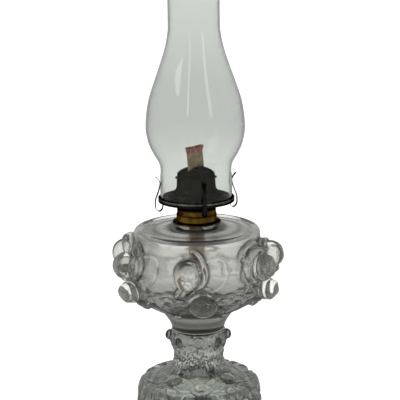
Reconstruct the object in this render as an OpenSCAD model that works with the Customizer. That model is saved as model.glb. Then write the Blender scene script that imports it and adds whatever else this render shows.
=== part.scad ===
// A kerosene table lamp: a pressed-glass oil font with rosebud relief on a pressed pedestal,
// a brass collar, a flat-wick burner with spring prongs, and a glass chimney.
// Millimetres, +Z up. The origin is the centre of the foot's underside, and the front faces -Y.

/* [Pedestal] */
// Height of the pedestal, from the table to the joint under the font
pedestal_h = 122; // [118:1:130]
// Radius of the foot
foot_r = 76; // [72:1:84]
// Height of the foot's upright rim
foot_edge_h = 6; // [4:0.5:9]
// Radius of the shoulder that carries the roses
ped_shoulder_r = 61; // [58:0.5:64]
// Height of that shoulder
ped_shoulder_z = 59; // [55:1:62]
// Radius of the stem at its waist
waist_r = 26.5; // [25:0.5:29]
// Height of the waist
waist_z = 89; // [86:1:92]
// Thickness of the pedestal's glass
ped_wall = 6; // [4.5:0.5:8]

/* [Font] */
// Height of the font, from the joint to the top of its shoulder
font_h = 110; // [104:1:118]
// Radius at the joint between font and pedestal
joint_r = 28.5; // [27:0.5:30]
// Largest radius of the bowl between the roses
bowl_r = 74; // [71:0.5:78]
// Radius of the plain shoulder band above the roses
shoulder_r = 68; // [64:0.5:70]
// Rise of the top plate from the shoulder to the neck
plate_rise = 7; // [6:0.5:11]
// Thickness of the font's glass
font_wall = 4.5; // [3.5:0.25:6]
// Height of the glass neck inside the collar
neck_h = 8; // [7:0.5:11]
// Inner radius of the glass neck
neck_bore_r = 17.6; // [17.4:0.1:18]
// Wall of the glass neck
neck_wall = 2.2; // [1.8:0.1:2.8]
// Depth of the peg that sits in the pedestal's cup
peg_depth = 5; // [4:0.5:7]
// Radius of that peg
peg_r = 18; // [15:0.5:20]
// Thickness of the solid glass under the oil
font_floor_h = 24; // [20:1:28]
// Thickness of the cement in the joint
cement_t = 0.6; // [0.4:0.1:1]

/* [Roses] */
// Number of rosebuds round the bowl
roses = 6; // [4:1:7]
// Radius of a rosebud's ball
rose_r = 14.5; // [13:0.5:16]
// Height of the rosebuds above the joint
rose_z = 78; // [75:1:81]
// How far a rosebud's centre stands out from the bowl's widest radius
rose_out = 8; // [6:0.5:9]
// Turn of the first rosebud from the front, to the right
rose_turn = -3; // [-15:1:15]
// Radius of the outer petal beside every third rosebud, which is an open rose
petal_r = 15; // [13:0.5:16]
// How far that petal's centre stands out from the bowl
petal_out = 6; // [4:0.5:8]
// Turn of that petal from its rose, to the right
petal_turn = 20; // [16:1:26]
// Radius of a hanging bud's ball
drop_r = 12; // [10:0.5:13]
// How far a hanging bud's centre stands out from the bowl
drop_out = 8.5; // [6:0.5:9]
// Half the distance between the two balls that make a hanging bud wide
drop_spread = 2.8; // [1:0.2:4]
// Height of the hanging buds above the joint
drop_z = 48; // [44:0.5:51]
// Turn of the first hanging bud from the front, to the right
drop_turn = 4; // [-15:1:15]
// Radius of a pedestal rose's ball
ped_rose_r = 11; // [9:0.5:12]
// Rise of the front and back pedestal roses above those at the sides
ped_rose_step = 8; // [0:1:10]
// Radius of a crown boss under the joint
crown_boss_r = 5; // [4:0.25:6]
// Radius of the ball that presses a dimple between two crown bosses
dimple_r = 7; // [5:0.5:8]

/* [Collar] */
// Gap between the glass neck and the collar, filled with plaster
plaster_t = 0.9; // [0.6:0.1:1.2]
// Sheet thickness of the brass collar
collar_t = 0.8; // [0.6:0.1:1]
// How far the collar's foot turns out
collar_foot = 4.6; // [3:0.2:5.5]
// Inner radius of the threaded ring, 1 1/4 inch across
thread_r = 15.95; // [15.5:0.05:16.1]
// Wall of the threaded ring
thread_wall = 1.2; // [0.8:0.1:1.3]
// Depth of the thread
thread_h = 7; // [5:0.5:7.5]

/* [Burner] */
// Sheet thickness of the burner
sheet = 0.7; // [0.5:0.05:0.8]
// Depth of the burner's threaded skirt below its flange
skirt_h = 9.5; // [8:0.5:12]
// Outer radius of the basket's neck
basket_r = 20.8; // [19.8:0.1:21.4]
// Height of the straight part of the basket
basket_neck_h = 10.9; // [10.7:0.1:13]
// Height of the bowl above that straight part
basket_bowl_h = 2.8; // [2:0.2:4]
// Outer radius of the ledge that carries the deflector
ledge_r = 31.2; // [30.8:0.1:31.6]
// Step from the chimney's seat up to that ledge
ledge_step = 3; // [2.4:0.1:4]
// Height of the thin lip round that ledge
ledge_lip_h = 1.7; // [1:0.1:2.4]
// Outer radius of the gallery
gallery_r = 40.6; // [40.2:0.1:41.2]
// Height of the gallery's rim above the chimney's seat
gallery_lip_h = 3.2; // [1.8:0.2:3.6]
// Radius of the deflector's upright skirt
dome_r = 20.75; // [19:0.25:21.5]
// Drop of the seam round the deflector's cap below its top
cap_drop = 8; // [7:0.5:10]
// Height of the deflector above its ledge
dome_h = 34.5; // [33:0.5:37]
// Length of the flame slot
slot_l = 34; // [31:0.5:35]
// Width of the flame slot
slot_w = 6; // [5:0.25:7]
// Distance of the vent tube from the wick's middle
vent_off = 9; // [8:0.25:10]
// Radius of a hole in the draught screen
screen_hole_r = 0.8; // [0.5:0.1:1]

/* [Wick and winder] */
// Width of the cotton wick, nominally one inch
wick_w = 24.4; // [20:0.2:25.4]
// Thickness of the wick
wick_t = 3; // [2.4:0.1:3.4]
// Height of the wick above the deflector
wick_show = 21; // [10:1:24]
// Turn of the wick about the vertical, from left-right towards front-back
wick_turn = 50; // [40:1:60]
// Distance of the wick's end above the font's floor
wick_end_gap = 32; // [30:1:50]
// Wall of the wick tube
tube_wall = 0.5; // [0.4:0.05:0.6]
// Radius of the winding shaft
shaft_r = 1.1; // [0.9:0.05:1.3]
// Height of the shaft above the burner's flange
shaft_z = 5.2; // [5.1:0.1:5.4]
// Radius of the star wheels over their teeth
spur_r = 4.8; // [4.4:0.1:4.8]
// Teeth on a star wheel
spur_teeth = 10; // [8:1:14]
// Distance of a star wheel from the middle of the wick
spur_s = 5; // [3:0.5:6]
// Thickness of a star wheel
spur_t = 0.9; // [0.6:0.1:1.2]
// Distance of a bracket ear from the middle of the wick
ear_s = 8; // [7.5:0.25:9]
// Sheet thickness of the bracket
ear_t = 0.8; // [0.6:0.1:1]
// Height of the bracket
ear_h = 7; // [6:0.5:8]
// Radius of the thumb wheel
knob_r = 6.5; // [5.5:0.25:7.5]
// Thickness of the thumb wheel
knob_t = 2.4; // [1.8:0.2:3]
// Distance of the thumb wheel's inner face from the wick's centre
knob_reach = 47; // [45:0.5:52]

/* [Prongs] */
// Width of a prong's strip
prong_w = 4; // [3:0.25:5]
// Thickness of a prong's strip
prong_t = 0.6; // [0.5:0.05:0.8]
// Turn of the front prong from the front, to the right
prong_turn = 12; // [5:1:20]
// Height at which a prong presses on the chimney, above the seat
grip_z = 19; // [16:1:24]
// Height of a prong's tip above the seat
tip_z = 27; // [25:1:32]
// Depth of a prong's loop under its rivet
loop_drop = 8.9; // [8:0.1:10]
// Gap between a prong and the gallery's rim
rim_gap = 3.2; // [1.5:0.1:4]
// Radius of a prong's rivet
rivet_r = 0.9; // [0.7:0.05:1]

/* [Chimney] */
// Height of the chimney
chimney_h = 254; // [230:1:270]
// Radius of the chimney's fitter, three inches across
fitter_r = 38.3; // [38:0.1:38.6]
// Largest radius of the chimney's bulge
bulge_r = 52.5; // [49:0.5:56]
// Radius of the chimney's upper tube
flue_r = 27.2; // [25:0.2:30]
// Thickness of the chimney's glass
chimney_wall = 2; // [1.6:0.1:2.3]
// Height of the narrow throat above the chimney's foot
throat_z = 33; // [30:1:36]
// Height of the widest point of the bulge
bulge_z = 82; // [76:1:90]
// Height at which the straight flue begins
flue_z = 190; // [175:1:200]

/* [Clearances] */
// Gap between soft or loose pieces and what they move past
loose = 0.35; // [0.3:0.05:0.5]
// Radial gap of a running fit
running = 0.08; // [0.04:0.01:0.1]
// Gap under a piece that lifts off its seat
seat_gap = 0.2; // [0.1:0.05:0.3]

/* [Hidden] */
$fn = 64;
front = -90;

// Heights, from the table up
crown_z = lerp(waist_z, pedestal_h, 0.74);
font_z = pedestal_h + cement_t;
shoulder_z = font_z + font_h;
neck_z = shoulder_z + plate_rise;
neck_top = neck_z + neck_h;
collar_top = neck_top + collar_t;
flange_z = collar_top + seat_gap;
basket_z = flange_z + sheet;
basket_top = basket_z + basket_neck_h + basket_bowl_h;
floor_z = basket_top;
ledge_z = floor_z + ledge_step;
seat_z = floor_z + sheet;
dome_z = ledge_z + sheet;
chimney_z = seat_z + seat_gap;
tube_bottom = flange_z - skirt_h - 2;
tube_top = dome_z + dome_h - 9;
font_floor = font_z + font_floor_h;
wick_bottom = font_floor + wick_end_gap;
wick_top = dome_z + dome_h + wick_show;

// Radii that follow from their neighbours
neck_r = neck_bore_r + neck_wall;
collar_in = neck_r + plaster_t;
collar_out = collar_in + collar_t;
skirt_r = thread_r - running;
basket_in = basket_r - sheet;
ledge_in = ledge_r - sheet;
tube_in_w = wick_w + 2 * loose;
tube_in_t = wick_t + 2 * loose;
tube_out_t = tube_in_t + 2 * tube_wall;
shaft_off = wick_t / 2 + loose + spur_r;
bush_r = shaft_r + running + 0.9;
vent_r = 1.6;
prong_r = ledge_r + 2;
chimney_in = fitter_r - chimney_wall;
ear_reach = shaft_off + spur_r + 1.2;

// Middle line of a prong: heights and radii that it passes
rivet_z = floor_z - 0.3 - prong_t / 2;
grip_r = fitter_r + 0.3 + prong_t / 2;
rim_pass = gallery_r + rim_gap + prong_t / 2;

function lerp(a, b, t) = a + (b - a) * t;

// Round a list of control points with a smooth curve, n steps to a span
function curve_at(a, b, c, d, t) =
    0.5 * (2 * b + (c - a) * t + (2 * a - 5 * b + 4 * c - d) * t * t
    + (3 * b - a - 3 * c + d) * t * t * t);
function smooth(p, n) = [
    for (i = [0:len(p) - 2], k = [0:n - 1])
        curve_at(p[max(i - 1, 0)], p[i], p[i + 1], p[min(i + 2, len(p) - 1)], k / n),
    p[len(p) - 1],
];

// The same outline moved inwards by t, for one that climbs on its outer side
function along(p, i) =
    let (d = p[min(i + 1, len(p) - 1)] - p[max(i - 1, 0)]) d / norm(d);
function inset(p, t) = [
    for (i = [0:len(p) - 1])
        let (d = along(p, i)) [max(p[i].x - d.y * t, 0), p[i].y + d.x * t],
];
function reversed(p) = [for (i = [len(p) - 1:-1:0]) p[i]];
function raised(p, z) = [for (q = p) [q.x, q.y + z]];

// A flat oval of width w and thickness t with round ends
function oval(w, t, n = 8) = [
    for (side = [0, 1], i = [0:n])
        let (a = -90 + 180 * side + 180 * i / n)
        [(w - t) / 2 * (1 - 2 * side) + t / 2 * cos(a), t / 2 * sin(a)],
];

module shell(outline, wall) {
    rotate_extrude() polygon(concat(outline, reversed(inset(outline, wall))));
}

module ring(r_in, r_out, h) {
    difference() {
        cylinder(r = r_out, h = h);
        translate([0, 0, -1]) cylinder(r = r_in, h = h + 2);
    }
}

// Stand children on a wall at an azimuth: their +Z points outwards and their +Y upwards
module on_wall(azimuth, r, z) {
    rotate([0, 0, azimuth]) translate([r, 0, z]) rotate([90, 0, 90]) children();
}

// A piece of a petal: a round bar bent to an arc, h above the wall
module petal(r, thick, h, from, sweep) {
    translate([0, 0, h]) rotate([0, 0, from])
        rotate_extrude(angle = sweep) translate([r, 0]) circle(thick);
}

// Pressed-glass relief: a ball on a broad low mound that lies a share of its radius behind it
module rosebud(r, behind) {
    translate([0.1 * r, 0.1 * r, -behind * r]) sphere(1.35 * r);
    sphere(r);
}

module hanging_bud(r, behind) {
    translate([-0.1 * r, 0.1 * r, -behind * r]) sphere(1.25 * r);
    sphere(r);
}

module wide_bud(r, behind, spread) {
    translate([-spread, 0, 0]) hanging_bud(r, behind);
    translate([spread, 0, 0]) sphere(r);
}

// Outer outline of the pedestal from the table to the joint
ped_outline = concat(
    [[foot_r, 0]],
    smooth([
        [foot_r, foot_edge_h],
        [foot_r - 3, foot_edge_h + 9],
        [lerp(ped_shoulder_r, foot_r, 0.52), 0.5 * ped_shoulder_z],
        [ped_shoulder_r + 4, 0.76 * ped_shoulder_z],
        [ped_shoulder_r, ped_shoulder_z],
        [ped_shoulder_r - 4, lerp(ped_shoulder_z, waist_z, 0.33)],
        [lerp(waist_r, ped_shoulder_r, 0.56), lerp(ped_shoulder_z, waist_z, 0.52)],
        [lerp(waist_r, ped_shoulder_r, 0.32), lerp(ped_shoulder_z, waist_z, 0.67)],
        [waist_r + 3.5, lerp(ped_shoulder_z, waist_z, 0.83)],
        [waist_r, waist_z],
        [waist_r + 0.8, lerp(waist_z, pedestal_h, 0.25)],
        [joint_r + 1, lerp(waist_z, pedestal_h, 0.48)],
        [joint_r + 2.5, lerp(waist_z, pedestal_h, 0.7)],
        [joint_r, pedestal_h],
    ], 3)
);

// The hollow under the foot: the outline moved in by the wall, closed under the waist
ped_hollow = concat(
    smooth([
        [foot_r - ped_wall, 0],
        [foot_r - ped_wall - 4, foot_edge_h + 5],
        [lerp(ped_shoulder_r, foot_r, 0.35) - ped_wall, 0.42 * ped_shoulder_z],
        [ped_shoulder_r + 3 - ped_wall, 0.72 * ped_shoulder_z],
        [ped_shoulder_r - 2 - ped_wall, ped_shoulder_z - 2],
        [ped_shoulder_r - 13 - ped_wall, ped_shoulder_z + 7],
        [0.5 * waist_r, waist_z - 10],
        [0, waist_z - 7],
    ], 3),
    [[0, 0]]
);

module pedestal() {
    color([0.52, 0.56, 0.53, 0.6]) difference() {
        union() {
            rotate_extrude() polygon(concat(ped_outline, [[0, pedestal_h], [0, 0]]));
            for (i = [0:3]) {
                on_wall(front + 2 + 90 * i, ped_shoulder_r - 4,
                        ped_shoulder_z + 2 + ped_rose_step * (1 - i % 2))
                    union() {
                        hanging_bud(ped_rose_r, 0.65);
                        petal(0.7 * ped_rose_r, 0.18 * ped_rose_r, 0.7 * ped_rose_r, -130, 230);
                    }
                on_wall(front + 47 + 90 * i, ped_shoulder_r - 15, ped_shoulder_z + 14)
                    sphere(0.8 * ped_rose_r);
                on_wall(front + 47 + 90 * i, ped_shoulder_r - 1, ped_shoulder_z - 12)
                    sphere(0.8 * ped_rose_r);
                on_wall(front + 90 * i, joint_r + 1, crown_z) sphere(crown_boss_r);
            }
        }
        rotate_extrude() polygon(ped_hollow);
        for (i = [0:3])
            on_wall(front + 45 + 90 * i, joint_r + 6, crown_z - 4) sphere(dimple_r);
        translate([0, 0, pedestal_h - peg_depth - cement_t])
            cylinder(r = peg_r + cement_t, h = peg_depth + cement_t + 1);
    }
}

module font_cement() {
    color([0.45, 0.44, 0.4]) difference() {
        union() {
            translate([0, 0, pedestal_h]) cylinder(r = joint_r, h = cement_t);
            translate([0, 0, pedestal_h - peg_depth - cement_t])
                cylinder(r = peg_r + cement_t, h = peg_depth + cement_t + cement_t / 2);
        }
        translate([0, 0, pedestal_h - peg_depth]) cylinder(r = peg_r, h = peg_depth + 2 * cement_t);
    }
}

// Outer outline of the font, from the joint up to the shoulder, then over the top plate
font_outline = concat(
    smooth([
        [joint_r, font_z],
        [joint_r + 0.8, font_z + 4],
        [joint_r + 3.5, font_z + 9.5],
        [joint_r + 8.5, font_z + 15.5],
        [joint_r + 14.5, font_z + 21.5],
        [0.77 * bowl_r, font_z + 28.5],
        [0.92 * bowl_r, font_z + 38],
        [0.985 * bowl_r, font_z + 50],
        [bowl_r, font_z + 64],
        [bowl_r - 2, font_z + 79],
        [shoulder_r + 1, shoulder_z - 18],
        [shoulder_r, shoulder_z - 10],
    ], 3),
    [
        [shoulder_r, shoulder_z - 5],
        [shoulder_r - 0.6, shoulder_z - 2.6],
        [shoulder_r - 2.2, shoulder_z - 0.8],
        [shoulder_r - 4.4, shoulder_z],
        [shoulder_r - 8, shoulder_z + 0.4],
        [neck_r + 18, shoulder_z + 0.4 * plate_rise],
        [neck_r + 8, shoulder_z + 0.78 * plate_rise],
        [neck_r + 6, neck_z],
        [neck_r, neck_z],
        [neck_r, neck_top],
        [0, neck_top],
    ]
);

font_hollow = concat(
    [[0, font_floor]],
    smooth([
        [joint_r - 2, font_floor + 0.6],
        [0.7 * bowl_r - font_wall, font_floor + 8],
        [0.9 * bowl_r - font_wall, font_floor + 19],
        [bowl_r - font_wall - 1, font_floor + 34],
        [bowl_r - font_wall - 0.5, font_floor + 47],
        [bowl_r - font_wall - 4, font_floor + 59],
        [shoulder_r - font_wall, shoulder_z - 14],
    ], 3),
    [
        [shoulder_r - font_wall - 1.5, shoulder_z - font_wall - 3],
        [shoulder_r - font_wall - 5, shoulder_z - font_wall],
        [neck_r + 12, shoulder_z + 0.5 * plate_rise - font_wall],
        [neck_bore_r, shoulder_z + 0.7 * plate_rise - font_wall],
        [neck_bore_r, neck_top + 1],
        [0, neck_top + 1],
    ]
);

module font() {
    color([0.72, 0.73, 0.7, 0.5]) difference() {
        union() {
            rotate_extrude() polygon(concat([[0, font_z]], font_outline));
            translate([0, 0, pedestal_h - peg_depth]) cylinder(r = peg_r, h = peg_depth + 2);
            for (i = [0:roses - 1]) {
                on_wall(front + rose_turn + 360 / roses * i, bowl_r + rose_out, font_z + rose_z)
                    rosebud(rose_r, 1.05);
                if (i % 3 == 1)
                    on_wall(front + rose_turn + petal_turn + 360 / roses * i, bowl_r + petal_out,
                            font_z + rose_z + 5)
                        sphere(petal_r);
                on_wall(front + drop_turn + 360 / roses * i, bowl_r + drop_out, font_z + drop_z)
                    wide_bud(drop_r, 0.9, drop_spread);
                on_wall(front + drop_turn + 360 / roses * (i + 0.5), bowl_r - 10, font_z + 37)
                    sphere(0.5 * drop_r);
            }
        }
        rotate_extrude() polygon(font_hollow);
    }
}

module collar_plaster() {
    color([0.7, 0.68, 0.62]) translate([0, 0, neck_z]) ring(neck_r, collar_in, neck_h);
}

module collar_shell() {
    color([0.45, 0.35, 0.14]) rotate_extrude() polygon([
        [collar_in, neck_z],
        [collar_out + collar_foot - 0.6, neck_z],
        [collar_out + collar_foot, neck_z + 0.6],
        [collar_out + collar_foot - 0.6, neck_z + 1.4],
        [collar_out + 0.6, neck_z + 1.8],
        [collar_out, neck_z + 2.6],
        [collar_out, neck_top],
        [collar_out - 0.5, collar_top],
        [thread_r + thread_wall, collar_top],
        [thread_r + thread_wall, neck_top],
        [collar_in, neck_top],
    ]);
}

module collar_thread_ring() {
    color([0.55, 0.42, 0.17]) translate([0, 0, collar_top - thread_h])
        ring(thread_r, thread_r + thread_wall, thread_h);
}

// Carry children to the wick's own axes: X along its width, Y through its thickness
module wick_frame() {
    rotate([0, 0, wick_turn]) children();
}

module tube_hole() {
    wick_frame() linear_extrude(height = 6, center = true)
        polygon(oval(tube_in_w + 2 * tube_wall, tube_out_t));
}

module burner_base() {
    color([0.3, 0.25, 0.17]) difference() {
        union() {
            translate([0, 0, flange_z - skirt_h]) cylinder(r = skirt_r, h = skirt_h + sheet);
            translate([0, 0, flange_z]) cylinder(r = basket_r + 0.7, h = sheet);
        }
        translate([0, 0, flange_z - skirt_h + sheet]) cylinder(r = skirt_r - sheet, h = skirt_h + 5);
        translate([0, 0, flange_z - skirt_h]) tube_hole();
        translate([0, 0, flange_z - skirt_h]) wick_frame() translate([0, -vent_off, -1])
            cylinder(r = vent_r, h = 4);
    }
}

basket_outline = concat(
    [[basket_r, basket_z]],
    smooth([
        [basket_r, basket_z + basket_neck_h],
        [basket_r + 1.4, basket_z + basket_neck_h + 0.5 * basket_bowl_h],
        [lerp(basket_r, ledge_in, 0.5), basket_top - 0.2 * basket_bowl_h],
        [ledge_in, basket_top],
    ], 3),
    [[ledge_in, ledge_z]]
);

module burner_basket() {
    color([0.26, 0.23, 0.18]) difference() {
        shell(basket_outline, sheet);
        for (i = [0:19])
            rotate([0, 0, 18 * i + 9]) translate([basket_in - 3, 0, basket_z + 8.6]) rotate([0, 90, 0])
                cylinder(r = 0.9, h = 6);
        shaft_line(basket_in - 8) cylinder(r = bush_r, h = basket_r - basket_in + 10);
    }
}

// Carry children to the winding shaft: their +Z runs along it, from a distance off the centre
module shaft_line(from) {
    wick_frame() translate([from, shaft_off, basket_z + shaft_z]) rotate([0, 90, 0]) children();
}

module draught_screen() {
    color([0.38, 0.33, 0.22]) translate([0, 0, basket_z + basket_neck_h - sheet]) difference() {
        cylinder(r = basket_in, h = 0.5);
        tube_hole();
        for (row = [0:1], i = [0:17])
            rotate([0, 0, wick_turn + 20 * i + 10])
                translate([basket_in - 1.9 - 2.9 * row, 0, -1]) cylinder(r = screen_hole_r, h = 3);
        wick_frame() translate([0, -vent_off, -1]) cylinder(r = vent_r, h = 4);
    }
}

module gallery() {
    color([0.27, 0.25, 0.2]) difference() {
        union() {
            rotate_extrude() polygon([
                [basket_r + 1.7, ledge_z],
                [ledge_in, ledge_z],
                [ledge_in, floor_z],
                [gallery_r, floor_z],
                [gallery_r, seat_z + gallery_lip_h],
                [gallery_r - sheet, seat_z + gallery_lip_h],
                [gallery_r - sheet, seat_z],
                [ledge_r, seat_z],
                [ledge_r, ledge_z + sheet + ledge_lip_h],
                [ledge_in, ledge_z + sheet + ledge_lip_h],
                [ledge_in, ledge_z + sheet],
                [basket_r + 1.7, ledge_z + sheet],
            ]);
            translate([0, 0, seat_z]) rotate_extrude()
                translate([chimney_in - loose - 0.6, 0]) circle(0.6);
            translate([0, 0, seat_z + gallery_lip_h]) rotate_extrude()
                translate([gallery_r - sheet / 2, 0]) circle(0.75 * sheet);
        }
        for (i = [0:3])
            rotate([0, 0, front + prong_turn + 90 * i]) translate([prong_r, 0, floor_z - 1])
                cylinder(r = rivet_r, h = 3);
    }
}

// Outer outline of the bell-shaped deflector, with its two beads and its upright skirt
dome_outline = concat(
    [
        [ledge_r - 1.3, dome_z],
        [ledge_r - 1.3, dome_z + 0.9],
        [ledge_r - 2.2, dome_z + 1.7],
        [ledge_r - 3.6, dome_z + 2],
    ],
    smooth([
        [ledge_r - 3.9, dome_z + 3.8],
        [ledge_r - 4.8, dome_z + 5],
        [dome_r + 2.6, dome_z + 7.2],
        [dome_r + 0.6, dome_z + 9.8],
        [dome_r, dome_z + 13],
        [dome_r - 0.4, dome_z + dome_h - 12],
        [dome_r - 1.6, dome_z + dome_h - 7.4],
        [0.76 * dome_r, dome_z + dome_h - 4],
        [0.45 * dome_r, dome_z + dome_h - 1.2],
        [0, dome_z + dome_h],
    ], 3)
);

module deflector() {
    color([0.34, 0.32, 0.28]) difference() {
        union() {
            shell(dome_outline, sheet);
            translate([0, 0, dome_z + dome_h - cap_drop]) rotate_extrude()
                translate([dome_r - 1.5, 0]) circle(0.6);
            for (side = [0, 1])
                rotate([0, 0, 180 + 2 + 180 * side])
                    translate([dome_r - 1, -0.7, dome_z + dome_h - 14]) cube([2.2, 1.4, 2.4]);
        }
        translate([0, 0, dome_z + dome_h - 8]) wick_frame() linear_extrude(height = 20)
            polygon(oval(slot_l, slot_w));
    }
}

module wick_tube() {
    color([0.5, 0.4, 0.2]) wick_frame() difference() {
        translate([0, 0, tube_bottom]) linear_extrude(height = tube_top - tube_bottom)
            difference() {
                polygon(oval(tube_in_w + 2 * tube_wall, tube_out_t));
                polygon(oval(tube_in_w, tube_in_t));
            }
        for (s = [-spur_s, spur_s])
            translate([s, tube_in_t / 2, basket_z + shaft_z])
                cube([spur_t + 1, 2 * tube_wall + 1, 2 * spur_r - 0.8], center = true);
    }
}

module vent_tube() {
    color([0.5, 0.4, 0.2]) wick_frame() translate([0, -vent_off, flange_z - skirt_h - 2])
        ring(vent_r - 0.45, vent_r, skirt_h + sheet + basket_neck_h + 3);
}

// Bracket on the wick tube that carries the shaft on both sides of the star wheels
module spur_cage() {
    color([0.45, 0.37, 0.2]) wick_frame() translate([0, 0, basket_z + shaft_z]) difference() {
        union() {
            for (s = [-ear_s, ear_s])
                translate([s - ear_t / 2, tube_out_t / 2, -ear_h / 2])
                    cube([ear_t, ear_reach - tube_out_t / 2, ear_h]);
            translate([-ear_s - ear_t / 2, ear_reach - ear_t, -ear_h / 2])
                cube([2 * ear_s + ear_t, ear_t, ear_h]);
        }
        translate([-ear_s - 3, shaft_off, 0]) rotate([0, 90, 0])
            cylinder(r = shaft_r + running, h = 2 * ear_s + 6);
    }
}

module shaft_bush() {
    color([0.5, 0.4, 0.2]) shaft_line(sqrt(basket_in * basket_in - shaft_off * shaft_off) - 2)
        ring(shaft_r + running, bush_r, 5);
}

module spur_shaft() {
    color([0.4, 0.37, 0.3]) shaft_line(-ear_s - 1.6)
        cylinder(r = shaft_r, h = ear_s + 1.6 + knob_reach + knob_t + 0.8);
}

function star(r_out, r_in, teeth) = [
    for (i = [0:2 * teeth - 1])
        let (r = i % 2 == 0 ? r_out : r_in) [r * cos(180 * i / teeth), r * sin(180 * i / teeth)],
];

module spur_wheels() {
    color([0.55, 0.45, 0.25])
        for (s = [-spur_s, spur_s])
            shaft_line(s - spur_t / 2) difference() {
                linear_extrude(height = spur_t) polygon(star(spur_r, 0.72 * spur_r, spur_teeth));
                translate([0, 0, -1]) cylinder(r = shaft_r, h = spur_t + 2);
            }
}

module thumb_wheel() {
    color([0.32, 0.28, 0.2]) shaft_line(knob_reach) difference() {
        union() {
            linear_extrude(height = knob_t) polygon(star(knob_r, knob_r - 0.45, 30));
            translate([0, 0, -1.6]) cylinder(r = 2.6, h = knob_t + 2);
        }
        translate([0, 0, knob_t - 0.6]) ring(2.6 + 0.4, knob_r - 1.4, 2);
        translate([0, 0, -2]) cylinder(r = shaft_r, h = knob_t + 4);
    }
}

// A prong's middle line in its own upright plane, from its rivet: out and down round the loop,
// up past the gallery's rim to the chimney, and out again to the tip
prong_line = smooth([
    [prong_r - 1.9, rivet_z],
    [prong_r + 1.8, rivet_z],
    [prong_r + 3.2, rivet_z - 0.26 * loop_drop],
    [prong_r + 3.8, rivet_z - 0.66 * loop_drop],
    [prong_r + 7.1, rivet_z - loop_drop],
    [rim_pass - 0.2, rivet_z - 0.66 * loop_drop],
    [rim_pass + 0.4, rivet_z - 0.12 * loop_drop],
    [rim_pass - 0.1, seat_z + gallery_lip_h],
    [lerp(grip_r, rim_pass, 0.42), lerp(seat_z, seat_z + grip_z, 0.58)],
    [grip_r, seat_z + grip_z],
    [grip_r + 1.1, lerp(seat_z + grip_z, seat_z + tip_z, 0.5)],
    [grip_r + 4, seat_z + tip_z - 0.4],
    [grip_r + 5, seat_z + tip_z],
], 3);

module prong(i) {
    color([0.33, 0.33, 0.32]) rotate([0, 0, front + prong_turn + 90 * i]) difference() {
        translate([0, prong_w / 2, 0]) rotate([90, 0, 0]) linear_extrude(height = prong_w)
            polygon(concat(inset(prong_line, prong_t / 2), reversed(inset(prong_line, -prong_t / 2))));
        translate([prong_r, 0, rivet_z - 2]) cylinder(r = rivet_r + loose, h = 4);
    }
}

module prong_front() { prong(0); }
module prong_right() { prong(1); }
module prong_back() { prong(2); }
module prong_left() { prong(3); }

module prong_rivets() {
    head_z = rivet_z - prong_t / 2 - 0.3;
    color([0.45, 0.4, 0.28])
        for (i = [0:3])
            rotate([0, 0, front + prong_turn + 90 * i]) translate([prong_r, 0, 0]) {
                translate([0, 0, head_z - 0.6]) cylinder(r = rivet_r + 0.7, h = 0.6);
                translate([0, 0, head_z - 0.3]) cylinder(r = rivet_r, h = seat_z - head_z + 0.6);
                translate([0, 0, seat_z]) cylinder(r = rivet_r + 0.6, h = 0.6);
            }
}

module wick() {
    color([0.6, 0.52, 0.4]) wick_frame() translate([0, 0, wick_bottom])
        linear_extrude(height = wick_top - wick_bottom) polygon(oval(wick_w, wick_t, 4));
}

// Outer outline of the chimney: fitter, waist, bulge and flue
chimney_outline = raised(concat(
    smooth([
        [fitter_r, 0],
        [fitter_r, grip_z + 3],
        [fitter_r - 0.6, throat_z],
        [fitter_r + 0.8, lerp(throat_z, bulge_z, 0.16)],
        [lerp(fitter_r, bulge_r, 0.43), lerp(throat_z, bulge_z, 0.35)],
        [lerp(fitter_r, bulge_r, 0.76), lerp(throat_z, bulge_z, 0.55)],
        [bulge_r - 0.5, lerp(throat_z, bulge_z, 0.8)],
        [bulge_r, bulge_z],
        [bulge_r - 1.5, lerp(bulge_z, flue_z, 0.14)],
        [bulge_r - 4.5, lerp(bulge_z, flue_z, 0.27)],
        [lerp(flue_r, bulge_r, 0.6), lerp(bulge_z, flue_z, 0.425)],
        [lerp(flue_r, bulge_r, 0.35), lerp(bulge_z, flue_z, 0.59)],
        [lerp(flue_r, bulge_r, 0.14), lerp(bulge_z, flue_z, 0.75)],
        [flue_r + 0.6, lerp(bulge_z, flue_z, 0.89)],
        [flue_r, flue_z],
    ], 3),
    [[flue_r, chimney_h]]
), chimney_z);

module chimney() {
    color([0.8, 0.84, 0.82, 0.35]) shell(chimney_outline, chimney_wall);
}

pedestal();
font_cement();
font();
collar_plaster();
collar_shell();
collar_thread_ring();
burner_base();
burner_basket();
draught_screen();
gallery();
deflector();
wick_tube();
vent_tube();
spur_cage();
shaft_bush();
spur_shaft();
spur_wheels();
thumb_wheel();
prong_front();
prong_right();
prong_back();
prong_left();
prong_rivets();
wick();
chimney();
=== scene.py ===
# A kerosene table lamp: pressed rose-relief glass, a brass collar and a flat-wick burner.
# Metres, +Z up, front towards -Y. Outlines are in millimetres and scaled when a mesh is made.
import math

import bpy
import numpy as np
from mathutils import Matrix, Vector


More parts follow.
